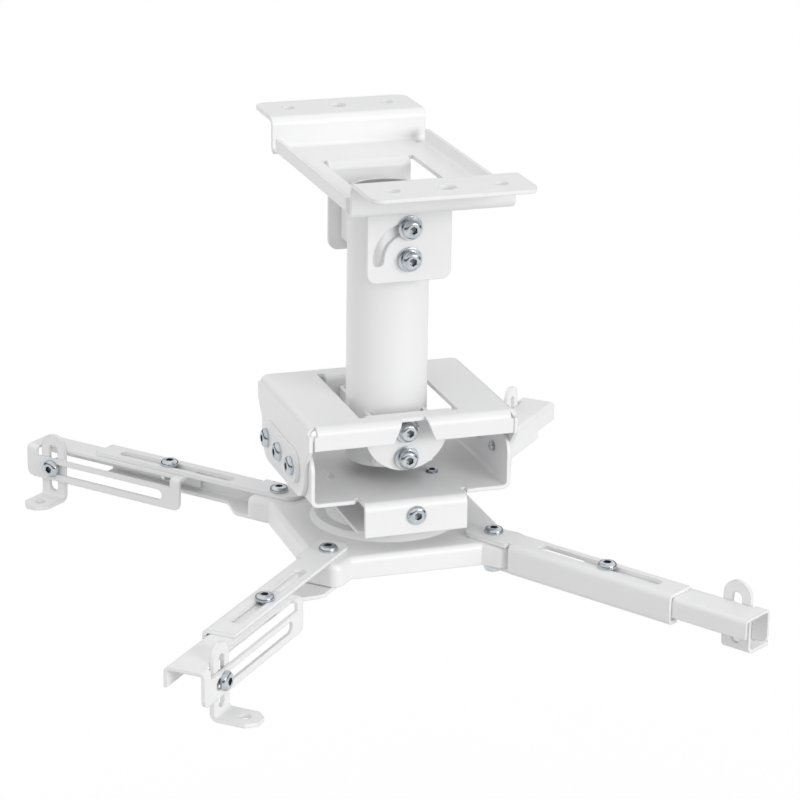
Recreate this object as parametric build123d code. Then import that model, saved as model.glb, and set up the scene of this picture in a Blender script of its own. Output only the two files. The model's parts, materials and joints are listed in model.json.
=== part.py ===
# Projector ceiling mount: ceiling plate, pole, roll and tilt yokes, swivelling spider and four
# adjustable arms. Millimetres. z = 0 is the top of the ceiling flanges, the mount hangs towards -z,
# +x is to the right of the photo and +y away from it.
import os
from math import cos, radians, sin

from build123d import *

os.makedirs("parts", exist_ok=True)

# Sheet and fits
SHEET = 2.0             # plates, yokes, spider, sleeves and feet
SLIDE_SHEET = 1.5       # slides of the arms
BEND = 3.0              # bend radius of the sheet's middle line
TIGHT_BEND = 2.0        # the same at the roll yoke's ears
SLIDE_BEND = 1.6
ARM_BEND = 2.0
FACE_GAP = 0.05         # between flat faces that move on one another
SIDE_GAP = 0.1          # between the side plates of the two yokes
SLOT_PLAY = 0.3         # shank in a slot or a pivot hole, radial
RUN_PLAY = 0.05         # running fit of a pivot, radial
HOLE_PLAY = 0.1         # shank in a plain hole of its own body, radial
THREAD_PLAY = 0.02      # shank in a threaded hole, radial

# Fasteners: shank radius, head radius, head height, socket radius, nut radius, nut height
M5 = dict(r=2.5, head_r=4.75, head_h=2.75, hex_r=1.75, nut_r=4.6, nut_h=4.0)
M8 = dict(r=4.0, head_r=7.4, head_h=5.3, nut_r=7.4, nut_h=6.8)
WASHER_R = 6.0
WASHER_H = 1.5
SPRING_R = 4.7          # spring washers under the pole screws
SPRING_H = 1.6

# Ceiling plate
PLATE_X = 40.0          # half width
PLATE_Y = 98.0          # half length
PLATE_CORNER = 6.0
RISER_Y = 65.0          # middle of the risers
FLOOR_DEPTH = 15.5      # flange tops to the top of the sunken floor
FLOOR_Z = -FLOOR_DEPTH
RIM_Y = 58.0            # half length of the folded rims
RIM_H = 8.5
RIM_TOP = FLOOR_Z - SHEET + RIM_H
RIM_RELIEF = 6.0
CEILING_HOLE_X = 26.0
CEILING_HOLE_Y = 84.0
CEILING_HOLE_R = 3.25
MIDDLE_HOLE_R = 4.25
WINDOW_X = 23.5
EAR_X = 21.0            # half width of an ear
EAR_Y = 32.0            # outer face of an ear
EAR_DROP = 42.0
EAR_BOTTOM = FLOOR_Z - SHEET - EAR_DROP
EAR_CORNER = 5.0
POLE_PIVOT_UP = 11.0    # pivot above the ear ends
POLE_PIVOT_Z = EAR_BOTTOM + POLE_PIVOT_UP
POLE_LOCK_R = 15.5      # slot radius about the pole pivot
POLE_TILT = 90.0

# Pole
TUBE_R = 20.0
TUBE_WALL = 2.0
TUBE_OVER = 26.5        # tube end above its pivot
TUBE_LEN = 135.5
TUBE_TOP = POLE_PIVOT_Z + TUBE_OVER
TUBE_BOTTOM = TUBE_TOP - TUBE_LEN
BOLT_REACH = 15.0       # |y| of the screw ends inside the tube
SADDLE_X = 15.5         # half width of the welded saddles
SADDLE_UNDER = 4.0      # saddle below the pivot screw and above the lock screw
SADDLE_OVER = 4.5

# Roll yoke
ROLL_UP = 9.0           # roll pivot above the tube end
ROLL_Z = TUBE_BOTTOM + ROLL_UP
YOKE_RISE = 23.5        # yoke top above the roll pivot
YOKE_TOP = ROLL_Z + YOKE_RISE
YOKE_X = 53.0           # outer faces of the sides
YOKE_Y = 45.0           # outer faces of the lips
LIP_X = 50.3
LIP_H = 11.3
LIP_BOTTOM = YOKE_TOP - LIP_H
LIP_NOTCH_TOP = 5.5
LIP_NOTCH_BOTTOM = 11.0
YOKE_WINDOW_X = 25.0
ROLL_EAR_R = 21.5
ROLL_EAR_END = 6.5      # ear end below the roll pivot
ROLL_EAR_BOTTOM = ROLL_Z - ROLL_EAR_END
ROLL_LOCK_R = 14.0
ROLL_SWING = 8.0
SIDE_Y = 44.0           # half depth of a side at the top
SIDE_STEP_H = 12.0      # below the yoke top: shoulder, lobe, side end and tilt axis
LOBE_H = 20.5
SIDE_H = 40.0
TILT_DROP = 26.0
LOBE_Y = 36.5
LOBE_CORNER = 12.0
TILT_Z = YOKE_TOP - TILT_DROP
SIDE_STEP_Z = YOKE_TOP - SIDE_STEP_H
LOBE_Z = YOKE_TOP - LOBE_H
LOBE_BOTTOM = YOKE_TOP - SIDE_H
TILT_LOCK_R = 21.0
TILT_SWING = 15.0

# Clamp strips
STRIP_Y = 29.5
STRIP_Z = 8.5

# Tilt yoke
TILT_Y = 41.0
TILT_RISE = 11.5        # sides above the tilt axis
TILT_TOP = TILT_Z + TILT_RISE
TILT_CORNER = 10.0
THREAD_OUT = 2.0        # tilt screws beyond their threaded sides
TILT_DEPTH = 13.5       # floor below the tilt axis
TILT_FLOOR = TILT_Z - TILT_DEPTH
TONGUE_X = 26.0
TONGUE_Y = 49.0
TONGUE_H = 17.0
TONGUE_BOTTOM = TILT_FLOOR - TONGUE_H
TONGUE_BOLT_UP = 9.5
TONGUE_BOLT_Z = TONGUE_BOTTOM + TONGUE_BOLT_UP
TONGUE_NOTCH = 2.5
SET_SCREW_X = 20.0
SET_SCREW_Y = -13.0
SET_SCREW_TOP = 1.5     # stands above the floor
SET_SCREW_LEN = 10.0
SET_SCREW_R = 3.0
PRESS_SLOT_X = -30.0
PRESS_SLOT_Y = -5.0
PRESS_SLOT_LEN = 7.0
PRESS_SLOT_W = 2.4

# Swivel plate
SWIVEL_X = 28.0
TAB_X = 22.0
TAB_H = 12.3
TAB_TOP = TONGUE_BOTTOM + TAB_H
SWIVEL_WASHER_R = 12.0

# Spider
SPIDER_RIM = 11.0
SPIDER_EDGE = 3.0
SPIDER_HALF = 51.0
LEG_X = 12.5            # half width of a leg
LEG_END = 73.0
LEG_CORNER = 5.0
PIVOT_R = 60.0
RING_1_R = 35.0
RING_1_UP = 3.0
RING_2_R = 27.0
RING_2_UP = 7.0
SWIVEL_SPACER = 1.45    # washer between swivel plate and spider
RING_TOP = TONGUE_BOTTOM - SWIVEL_SPACER - FACE_GAP
SPIDER_TOP = RING_TOP - RING_2_UP
RING_SLOPE = 2.5

# Sleeve, in its own frame: u outwards from the pivot, v to the open side
SLEEVE_IN = -13.0
SLEEVE_OUT = 111.5
SLEEVE_V = 6.3          # open edge
SLEEVE_WEB = -10.0      # outer face of the web
WEB_IN = 16.5
SLEEVE_LOW = 11.45      # from the spider's top to the top of the lower flange
SLOT_IN = 30.8
SLOT_MARGIN = 14.8      # slot end to the sleeve's outer end
SLOT_OUT = SLEEVE_OUT - SLOT_MARGIN
LUG_V = 8.0
LUG_IN = -12.0
LUG_OUT = 22.0
STRIP_IN = 34.0
LOW_V = -3.0

# Slide, w from its inner end
SLIDE_LEN = 99.0
SLIDE_SCREW = 15.0
SLIDE_WEB = -7.7        # outer face of the short wall
SLIDE_WALL = 12.5       # outer face of the tall wall
SHORT_H = 9.7
TALL_H = 17.0
TALL_CORNER = 4.0
WALL_SLOT_IN = 14.0
WALL_SLOT_MARGIN = 14.5
WALL_SLOT_OUT = SLIDE_LEN - WALL_SLOT_MARGIN
FOOT_SCREW_H = 10.5     # wall slot below the slide's top
RELIEF_PLAY = 0.5       # relief window beyond the foot plate at either end of its travel
RELIEF_GAP = 0.2        # foot plate to the relief window and to the tall wall
RELIEF_H = 5.0
SLIDE_TOP = SPIDER_TOP
SHORT_Z = SLIDE_TOP - SHORT_H
TALL_Z = SLIDE_TOP - TALL_H
FOOT_Z = SLIDE_TOP - FOOT_SCREW_H
RELIEF_Z = SLIDE_TOP - RELIEF_H

# Foot
FOOT_W = 15.0
FOOT_V = SLIDE_WALL - SLIDE_SHEET - RELIEF_GAP
FOOT_RISE = 7.5         # ring top above the slide
FOOT_DROP = 9.0         # flange top below the tall wall
FOOT_SLOT_RIM = 8.3     # slot centre below the ring top
FOOT_SLOT_FLOOR = 7.3   # slot centre above the underside
FOOT_TOP = SLIDE_TOP + FOOT_RISE
FOOT_BOTTOM = TALL_Z - FOOT_DROP - SHEET
FOOT_SLOT_TOP = FOOT_TOP - FOOT_SLOT_RIM
FOOT_SLOT_LOW = FOOT_BOTTOM + FOOT_SLOT_FLOOR
FOOT_LIFT = 6.0         # the foot's way up from the drawn height
RELIEF_V = FOOT_V - SHEET - RELIEF_GAP
RELIEF_IN = WALL_SLOT_IN - FOOT_W / 2 - RELIEF_PLAY
RELIEF_OUT = WALL_SLOT_OUT + FOOT_W / 2 + RELIEF_PLAY
FOOT_OUT = 30.5
FOOT_CHAMFER = 4.5
FOOT_HOLE_V = 22.5
FOOT_HOLE_R = 2.75

# Arms as photographed: name, angle of the leg, swing from the leg, then how far along the sleeve's
# slot, the wall slot and the foot's way up each clamp stands, as shares of that travel
ARMS = [
    ("fl", 225.0, 2.5, 0.572, 0.93, 0.0),
    ("bl", 135.0, -5.5, 0.572, 0.98, 0.0),
    ("fr", 315.0, -13.0, 0.572, 0.98, 0.5),
    ("br", 45.0, 1.5, 0.382, 0.91, 0.85),
]

UP = (Align.CENTER, Align.CENTER, Align.MIN)
DOWN = (Align.CENTER, Align.CENTER, Align.MAX)


def save(shape, node):
    export_step(shape, f"parts/{node}.step")


def group(solids):
    return Compound(children=list(solids))


def sheet(points, plane, width, thickness=SHEET, bend=BEND):
    """Bent strip: middle line drawn in a plane, given its thickness and width."""
    strip = trace(FilletPolyline(*points, radius=bend), line_width=thickness)
    return extrude(plane * strip, amount=width / 2, both=True)


def flat(sketch, top, thickness=SHEET):
    """Flat plate from a plan outline, its top face at the given height."""
    return extrude(Pos(0, 0, top) * sketch, amount=-thickness)


def block(x0, x1, y0, y1, z0, z1):
    return Pos((x0 + x1) / 2, (y0 + y1) / 2, (z0 + z1) / 2) * Box(x1 - x0, y1 - y0, z1 - z0)


def rod(radius, start, end):
    way = Vector(*end) - Vector(*start)
    return Plane(origin=start, z_dir=way) * Cylinder(radius, way.length, align=UP)


def screw(size, length):
    """Button head socket screw, head standing on z = 0 and shank down from it."""
    head = Cylinder(size["head_r"], size["head_h"], align=UP)
    rim = head.edges().group_by(Axis.Z)[-1]
    head = chamfer(rim, size["head_h"] * 0.6, size["head_r"] * 0.3)
    socket = extrude(RegularPolygon(size["hex_r"], 6), amount=-size["head_h"] * 0.55)
    head -= Pos(0, 0, size["head_h"]) * socket
    return head + Cylinder(size["r"], length, align=DOWN)


def nut(size):
    """Hexagon nut hanging below z = 0."""
    body = extrude(RegularPolygon(size["nut_r"], 6), amount=-size["nut_h"])
    return body - Cylinder(size["r"] + THREAD_PLAY, 2 * size["nut_h"])


def washer(radius, bore, height):
    return Cylinder(radius, height, align=UP) - Cylinder(bore, 3 * height)


def on_y(side, y, z, x=0.0):
    """Place on a front (-1) or rear (+1) face, looking outwards."""
    return Plane(origin=(x, side * y, z), x_dir=(1, 0, 0), z_dir=(0, side, 0)).location


def on_x(side, x, y, z):
    """Place on a left (-1) or right (+1) face, looking outwards."""
    return Plane(origin=(side * x, y, z), x_dir=(0, 1, 0), z_dir=(side, 0, 0)).location


SIDES = (-1, 1)
M5_SLOT = 2 * (M5["r"] + SLOT_PLAY)
EAR_IN = EAR_Y - SHEET
POLE_LOCK_Z = POLE_PIVOT_Z + POLE_LOCK_R
BOLT_HEIGHTS = {
    "pivot": (POLE_PIVOT_Z, ROLL_Z),
    "lock": (POLE_LOCK_Z, ROLL_Z + ROLL_LOCK_R),
}


# Ceiling plate: hat section, rims folded up, ears folded down from the window, the front one slotted
def ceiling_plate():
    flange_mid = -SHEET / 2
    floor_mid = FLOOR_Z - SHEET / 2
    half = [(RISER_Y, floor_mid), (RISER_Y, flange_mid), (PLATE_Y, flange_mid)]
    points = [(-y, z) for y, z in reversed(half)] + half
    plate = sheet(points, Plane.YZ, 2 * PLATE_X)
    corners = plate.edges().filter_by(Axis.Z).filter_by_position(Axis.Z, -SHEET, 0)
    plate = fillet(corners.filter_by(lambda e: abs(e.center().Y) > PLATE_Y - 1), PLATE_CORNER)
    inner = PLATE_X - RIM_RELIEF
    floor_end = RISER_Y - BEND
    for s in SIDES:
        edge = block(inner, PLATE_X + 1, -floor_end, floor_end, FLOOR_Z - SHEET - 1, FLOOR_Z + 1)
        plate -= edge if s > 0 else mirror(edge, Plane.YZ)
    wall = PLATE_X - SHEET / 2
    tub = [(-wall, RIM_TOP), (-wall, floor_mid), (wall, floor_mid), (wall, RIM_TOP)]
    plate += sheet(tub, Plane.XZ, 2 * RIM_Y)
    notch = EAR_Y + BEND
    plate -= block(-WINDOW_X, WINDOW_X, -notch, notch, FLOOR_Z - SHEET - 1, FLOOR_Z + 1)
    ear_mid = EAR_Y - SHEET / 2
    ear = sheet([(notch + BEND, floor_mid), (ear_mid, floor_mid), (ear_mid, EAR_BOTTOM)], Plane.YZ, 2 * EAR_X)
    tips = ear.edges().filter_by(Axis.Y).filter_by_position(Axis.Z, EAR_BOTTOM - 0.1, EAR_BOTTOM + 0.1)
    ear = fillet(tips, EAR_CORNER)
    plate += ear + mirror(ear, Plane.XZ)
    plate -= rod(M5["r"] + RUN_PLAY, (0, -EAR_Y - 1, POLE_PIVOT_Z), (0, EAR_Y + 1, POLE_PIVOT_Z))
    arc = CenterArc((0, POLE_PIVOT_Z), POLE_LOCK_R, 90, POLE_TILT)
    plate -= extrude(Plane.XZ * SlotArc(arc, M5_SLOT), amount=EAR_Y + 1)
    for s in SIDES:
        for x in (-CEILING_HOLE_X, CEILING_HOLE_X):
            plate -= Pos(x, s * CEILING_HOLE_Y, 0) * Cylinder(CEILING_HOLE_R, 4 * SHEET)
        plate -= Pos(0, s * CEILING_HOLE_Y, 0) * Cylinder(MIDDLE_HOLE_R, 4 * SHEET)
    return plate


# Pole with its welded saddles, screws and washers
def pole():
    tube = Pos(0, 0, TUBE_TOP) * Cylinder(TUBE_R, TUBE_TOP - TUBE_BOTTOM, align=DOWN)
    tube -= Pos(0, 0, TUBE_TOP + 1) * Cylinder(TUBE_R - TUBE_WALL, TUBE_TOP - TUBE_BOTTOM + 2, align=DOWN)
    saddles = []
    washers = []
    springs = []
    bolts = {"pivot": [], "lock": []}
    for kind, heights in BOLT_HEIGHTS.items():
        for z in heights:
            for s in (-1,) if z == POLE_LOCK_Z else SIDES:
                tube -= rod(M5["r"] + SLOT_PLAY, (0, 0, z), (0, s * (TUBE_R + 1), z))
                seat = EAR_Y + FACE_GAP
                washers.append(on_y(s, seat, z) * washer(WASHER_R, M5["r"] + HOLE_PLAY, WASHER_H))
                seat += WASHER_H
                springs.append(on_y(s, seat, z) * washer(SPRING_R, M5["r"] + HOLE_PLAY, SPRING_H))
                seat += SPRING_H
                bolts[kind].append(on_y(s, seat, z) * screw(M5, seat - BOLT_REACH))
    web = EAR_IN - FACE_GAP - SHEET / 2
    wall = SADDLE_X - SHEET / 2
    for low, high in zip(*BOLT_HEIGHTS.values()):
        start = low - SADDLE_UNDER
        height = high + SADDLE_OVER - start
        saddle = sheet([(-wall, 0), (-wall, web), (wall, web), (wall, 0)], Plane.XY, height)
        saddle = Pos(0, 0, start + height / 2) * saddle
        saddle -= Pos(0, 0, start) * Cylinder(TUBE_R, 4 * height)
        saddle -= rod(M5["r"] + THREAD_PLAY, (0, 0, low), (0, EAR_Y, low))
        locked = saddle - rod(M5["r"] + THREAD_PLAY, (0, 0, high), (0, EAR_Y, high))
        saddles += [saddle if high == POLE_LOCK_Z else locked, mirror(locked, Plane.XZ)]
    return tube, saddles, washers, springs, bolts


# Roll yoke: box with lips, window, two ears and two slotted side lobes
def roll_yoke():
    top_mid = YOKE_TOP - SHEET / 2
    bend_low = YOKE_TOP - BEND - SHEET / 2
    bend_x = YOKE_X - BEND - SHEET / 2
    bend_y = YOKE_Y - BEND - SHEET / 2
    wall = YOKE_X - SHEET / 2
    shell = sheet([(-wall, LOBE_BOTTOM), (-wall, top_mid), (wall, top_mid), (wall, LOBE_BOTTOM)],
                  Plane.XZ, 2 * SIDE_Y)
    outline = [(SIDE_Y, YOKE_TOP + 1), (SIDE_Y, SIDE_STEP_Z), (LOBE_Y, LOBE_Z), (LOBE_Y, LOBE_BOTTOM)]
    lobe = make_face(Polyline(*outline, *[(-y, z) for y, z in reversed(outline)], close=True))
    lobe = fillet(lobe.vertices().group_by(Axis.Y)[0], LOBE_CORNER)
    lobe = fillet(lobe.vertices().filter_by(lambda v: abs(v.Y - LOBE_Z) < 0.1), 2 * BEND)
    shell &= extrude(Plane.YZ * lobe, amount=YOKE_X + 1, both=True)
    lip_mid = YOKE_Y - SHEET / 2
    lips = sheet([(-lip_mid, LIP_BOTTOM), (-lip_mid, top_mid), (lip_mid, top_mid), (lip_mid, LIP_BOTTOM)],
                 Plane.YZ, 2 * LIP_X)
    notch = make_face(Polyline((-LIP_NOTCH_TOP, YOKE_TOP + 1), (LIP_NOTCH_TOP, YOKE_TOP + 1),
                               (LIP_NOTCH_BOTTOM, LIP_BOTTOM - 1), (-LIP_NOTCH_BOTTOM, LIP_BOTTOM - 1),
                               close=True))
    for s in SIDES:
        end = block(-YOKE_X - 1, YOKE_X + 1, bend_y, YOKE_Y + 1, bend_low, YOKE_TOP + 1)
        shell -= end if s > 0 else mirror(end, Plane.XZ)
        end = block(bend_x, YOKE_X + 1, -YOKE_Y - 1, YOKE_Y + 1, bend_low, YOKE_TOP + 1)
        lips -= end if s > 0 else mirror(end, Plane.YZ)
        lips -= extrude(on_y(s, bend_y, 0) * notch, amount=BEND + SHEET)
    yoke = shell + lips
    rim = EAR_Y + BEND
    yoke -= block(-YOKE_WINDOW_X, YOKE_WINDOW_X, -rim, rim, YOKE_TOP - SHEET - 1, YOKE_TOP + 1)
    ear_mid = EAR_Y - SHEET / 2
    ear = sheet([(bend_y, top_mid), (ear_mid, top_mid), (ear_mid, ROLL_EAR_BOTTOM)], Plane.YZ,
                2 * ROLL_EAR_R, bend=TIGHT_BEND)
    centre = ROLL_EAR_BOTTOM + ROLL_EAR_R
    round_end = Pos(0, centre) * Circle(ROLL_EAR_R)
    round_end += Pos(0, centre) * Rectangle(2 * ROLL_EAR_R, 2 * ROLL_EAR_R, align=(Align.CENTER, Align.MIN))
    ear &= extrude(Plane.XZ * round_end, amount=YOKE_Y + 1, both=True)
    yoke += ear + mirror(ear, Plane.XZ)
    yoke -= rod(M5["r"] + RUN_PLAY, (0, -EAR_Y - 1, ROLL_Z), (0, EAR_Y + 1, ROLL_Z))
    arc = CenterArc((0, ROLL_Z), ROLL_LOCK_R, 90 - ROLL_SWING, 2 * ROLL_SWING)
    yoke -= extrude(Plane.XZ * SlotArc(arc, M5_SLOT), amount=EAR_Y + 1, both=True)
    for s in SIDES:
        yoke -= rod(M5["r"] + RUN_PLAY, (s * (YOKE_X - 2 * SHEET), 0, TILT_Z), (s * (YOKE_X + 1), 0, TILT_Z))
        for start in (-TILT_SWING, 180 - TILT_SWING):
            arc = CenterArc((0, TILT_Z), TILT_LOCK_R, start, 2 * TILT_SWING)
            cut = extrude(Plane.YZ * SlotArc(arc, M5_SLOT), amount=2 * SHEET, both=True)
            yoke -= Pos(s * wall, 0, 0) * cut
    return yoke


TILT_HOLES = (-TILT_LOCK_R, 0.0, TILT_LOCK_R)
STRIP_IN_X = YOKE_X + FACE_GAP
STRIP_OUT_X = STRIP_IN_X + SHEET
TILT_X = YOKE_X - SHEET - SIDE_GAP


def clamp_strip(side):
    face = SlotOverall(2 * STRIP_Y, 2 * STRIP_Z)
    for y in TILT_HOLES:
        face -= Pos(y, 0) * Circle(M5["r"] + HOLE_PLAY)
    return extrude(on_x(side, STRIP_IN_X, 0, TILT_Z) * face, amount=SHEET)


# Tilt yoke: U of sheet with tongues folded down from its floor
def tilt_yoke():
    floor_mid = TILT_FLOOR - SHEET / 2
    wall = TILT_X - SHEET / 2
    yoke = sheet([(-wall, TILT_TOP), (-wall, floor_mid), (wall, floor_mid), (wall, TILT_TOP)],
                 Plane.XZ, 2 * TILT_Y)
    tops = yoke.edges().filter_by(Axis.X).filter_by_position(Axis.Z, TILT_TOP - 0.1, TILT_TOP + 0.1)
    yoke = fillet(tops, TILT_CORNER)
    tongue_mid = TONGUE_Y - SHEET / 2
    tongue = sheet([(TILT_Y - BEND, floor_mid), (tongue_mid, floor_mid), (tongue_mid, TONGUE_BOTTOM)],
                   Plane.YZ, 2 * TONGUE_X)
    for s in SIDES:
        yoke += tongue if s > 0 else mirror(tongue, Plane.XZ)
        for x in SIDES:
            relief = block(TONGUE_X, TONGUE_X + TONGUE_NOTCH, TILT_Y - TONGUE_NOTCH, TILT_Y + 1,
                           TILT_FLOOR - SHEET - 1, TILT_FLOOR + 1)
            relief = relief if x > 0 else mirror(relief, Plane.YZ)
            yoke -= relief if s > 0 else mirror(relief, Plane.XZ)
        hole = (0, s * (TONGUE_Y - 2 * SHEET), TONGUE_BOLT_Z)
        yoke -= rod(M5["r"] + HOLE_PLAY, hole, (0, s * (TONGUE_Y + 1), TONGUE_BOLT_Z))
        for y in TILT_HOLES:
            hole = (s * (TILT_X - 2 * SHEET), y, TILT_Z)
            yoke -= rod(M5["r"] + THREAD_PLAY, hole, (s * (TILT_X + 1), y, TILT_Z))
    yoke -= Pos(SET_SCREW_X, SET_SCREW_Y, TILT_FLOOR) * Cylinder(SET_SCREW_R + THREAD_PLAY, 4 * SHEET)
    slot = Pos(PRESS_SLOT_X, PRESS_SLOT_Y) * Rot(0, 0, 90) * SlotOverall(PRESS_SLOT_LEN, PRESS_SLOT_W)
    yoke -= flat(slot, TILT_FLOOR + 1, 2 * SHEET)
    return yoke


# Swivel plate between the tongues
def swivel_plate():
    mid = TONGUE_BOTTOM + SHEET / 2
    tab = TONGUE_Y - SHEET - SHEET / 2
    plate = sheet([(-tab, TAB_TOP), (-tab, mid), (tab, mid), (tab, TAB_TOP)], Plane.YZ, 2 * TAB_X)
    plate += flat(Rectangle(2 * SWIVEL_X, 2 * (tab - BEND)), TONGUE_BOTTOM + SHEET)
    plate -= rod(M5["r"] + HOLE_PLAY, (0, -TONGUE_Y, TONGUE_BOLT_Z), (0, TONGUE_Y, TONGUE_BOLT_Z))
    plate -= Pos(0, 0, TONGUE_BOTTOM) * Cylinder(M8["r"] + HOLE_PLAY, 4 * SHEET)
    return plate


# Spider: pressed pan with four legs and round steps in the middle
def spider():
    outline = Rectangle(2 * SPIDER_HALF, 2 * SPIDER_HALF)
    for turn in (45, 135):
        outline += Rot(0, 0, turn) * Rectangle(2 * LEG_END, 2 * LEG_X)
    tips = outline.vertices().filter_by(lambda v: (v.X ** 2 + v.Y ** 2) ** 0.5 > LEG_END - 1)
    outline = fillet(tips, LEG_CORNER)
    pan = flat(outline, SPIDER_TOP, SPIDER_RIM)
    pan = fillet(pan.faces().sort_by(Axis.Z)[-1].edges(), SPIDER_EDGE)
    hollow = flat(offset(outline, -SHEET), SPIDER_TOP - SHEET, SPIDER_RIM)
    hollow = fillet(hollow.faces().sort_by(Axis.Z)[-1].edges(), SPIDER_EDGE - SHEET)
    pan -= hollow
    edge_1 = RING_1_R + RING_SLOPE
    edge_2 = RING_2_R + RING_SLOPE
    steps = [(0, RING_2_UP), (RING_2_R, RING_2_UP), (edge_2, RING_1_UP), (RING_1_R, RING_1_UP), (edge_1, 0)]
    under = [(max(r - SHEET / 2, 0), z - SHEET) for r, z in steps]
    profile = steps + [(edge_1 + 1, 0), (edge_1 + 1, -SHEET)] + list(reversed(under))
    disc = make_face(Polyline(*[(r, SPIDER_TOP + z) for r, z in profile], close=True))
    pan -= Pos(0, 0, SPIDER_TOP) * Cylinder(edge_1 + 1, 4 * SHEET)
    pan += revolve(Plane.XZ * disc, Axis.Z)
    pan -= Pos(0, 0, SPIDER_TOP) * Cylinder(M8["r"] + RUN_PLAY, 10 * SHEET)
    for _, leg, *_ in ARMS:
        at = (PIVOT_R * cos(radians(leg)), PIVOT_R * sin(radians(leg)))
        pan -= Pos(*at, SPIDER_TOP) * Cylinder(M5["r"] + RUN_PLAY, 4 * SHEET)
    return pan


# Sleeve of an arm: C channel, slotted on top, its lower flange cut back for the slide
SLEEVE_TOP = SPIDER_TOP + FACE_GAP + SHEET
SLEEVE_FLOOR = SPIDER_TOP - SLEEVE_LOW


def sleeve():
    web_mid = SLEEVE_WEB + SHEET / 2
    top_mid = SLEEVE_TOP - SHEET / 2
    low_mid = SLEEVE_FLOOR - SHEET / 2
    run = SLEEVE_OUT - WEB_IN
    body = sheet([(SLEEVE_V, top_mid), (web_mid, top_mid), (web_mid, low_mid), (LOW_V, low_mid)],
                 Plane.YZ, run, bend=ARM_BEND)
    body = Pos(WEB_IN + run / 2, 0, 0) * body
    back = web_mid + ARM_BEND
    end = make_face(Polyline((SLEEVE_IN, back), (WEB_IN + 1, back), (WEB_IN + 1, SLEEVE_V),
                             (SLEEVE_IN, SLEEVE_V), close=True))
    plain = WEB_IN - SHEET - SLEEVE_IN
    end += Pos(SLEEVE_IN + plain / 2, back) * Rectangle(plain, 2 * (back - SLEEVE_WEB))
    end = fillet(end.vertices().group_by(Axis.X)[0], 2 * BEND)
    body += flat(end, SLEEVE_TOP)
    joint = STRIP_IN + 4 * BEND
    lug = make_face(Polyline((LUG_IN, back), (joint, back), (joint, LOW_V), (STRIP_IN, LOW_V),
                             (LUG_OUT, LUG_V), (LUG_IN, LUG_V), close=True))
    lug = fillet(lug.vertices().filter_by(lambda v: v.X < joint - 1 and v.Y > back + 1), 2 * BEND)
    body += flat(lug, SLEEVE_FLOOR)
    slot = Pos((SLOT_IN + SLOT_OUT) / 2, 0) * SlotCenterToCenter(SLOT_OUT - SLOT_IN, M5_SLOT)
    body -= flat(slot, SLEEVE_TOP + 1, 2 * SHEET)
    body -= Pos(0, 0, SPIDER_TOP) * Cylinder(M5["r"] + HOLE_PLAY, 20 * SHEET)
    return body


# Slide of an arm: thin channel, its tall wall slotted for the foot screw
def slide():
    t = SLIDE_SHEET
    top_mid = SLIDE_TOP - t / 2
    short_mid = SLIDE_WEB + t / 2
    tall_mid = SLIDE_WALL - t / 2
    body = sheet([(short_mid, SHORT_Z), (short_mid, top_mid), (tall_mid, top_mid), (tall_mid, TALL_Z)],
                 Plane.YZ, SLIDE_LEN, t, SLIDE_BEND)
    body = Pos(SLIDE_LEN / 2, 0, 0) * body
    low = body.edges().filter_by(Axis.Y).filter_by_position(Axis.Z, TALL_Z - 0.1, TALL_Z + 0.1)
    body = fillet(low, TALL_CORNER)
    mid = (RELIEF_IN + RELIEF_OUT) / 2
    span = RELIEF_OUT - RELIEF_IN
    body -= block(RELIEF_IN, RELIEF_OUT, RELIEF_V, SLIDE_WALL + 1, RELIEF_Z, SLIDE_TOP + 1)
    window = Pos(mid, FOOT_Z) * SlotCenterToCenter(WALL_SLOT_OUT - WALL_SLOT_IN, M5_SLOT)
    body -= Pos(0, SLIDE_WALL, 0) * extrude(Plane.XZ * window, amount=2 * t, both=True)
    body -= Pos(SLIDE_SCREW, 0, SLIDE_TOP) * Cylinder(M5["r"] + HOLE_PLAY, 4 * t)
    return body


# Foot: slotted ring plate with a flange turned out below it
def foot():
    mid = FOOT_V - SHEET / 2
    low_mid = FOOT_BOTTOM + SHEET / 2
    body = sheet([(mid, FOOT_TOP), (mid, low_mid), (FOOT_OUT, low_mid)], Plane.YZ, FOOT_W)
    ring = body.edges().filter_by(Axis.Y).filter_by_position(Axis.Z, FOOT_TOP - 0.1, FOOT_TOP + 0.1)
    body = fillet(ring, FOOT_W / 2 - 0.2)
    ends = body.edges().filter_by(Axis.Z).filter_by(lambda e: e.center().Y > FOOT_OUT - 0.1)
    body = chamfer(ends, FOOT_CHAMFER)
    slot_mid = (FOOT_SLOT_TOP + FOOT_SLOT_LOW) / 2
    slot = Pos(0, slot_mid) * Rot(0, 0, 90) * SlotCenterToCenter(FOOT_SLOT_TOP - FOOT_SLOT_LOW, M5_SLOT)
    body -= Pos(0, mid, 0) * extrude(Plane.XZ * slot, amount=SHEET, both=True)
    body -= Pos(0, FOOT_HOLE_V, FOOT_BOTTOM) * Cylinder(FOOT_HOLE_R, 4 * SHEET)
    return body


save(ceiling_plate(), "ceiling_plate")
tube, saddles, washers, springs, bolts = pole()
save(tube, "pole_tube")
save(group(saddles), "pole_saddles")
save(group(washers), "pole_washers")
save(group(springs), "pole_spring_washers")
save(group(bolts["pivot"]), "pole_pivot_screws")
save(group(bolts["lock"]), "pole_lock_screws")

save(roll_yoke(), "roll_yoke")
tilt_length = STRIP_OUT_X - TILT_X + SHEET + THREAD_OUT
pivots = []
locks = []
for side, name in ((-1, "left"), (1, "right")):
    save(clamp_strip(side), f"clamp_strip_{name}")
    for y in TILT_HOLES:
        piece = on_x(side, STRIP_OUT_X, y, TILT_Z) * screw(M5, tilt_length)
        (locks if y else pivots).append(piece)
save(group(pivots), "tilt_pivot_screws")
save(group(locks), "tilt_lock_screws")

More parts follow.
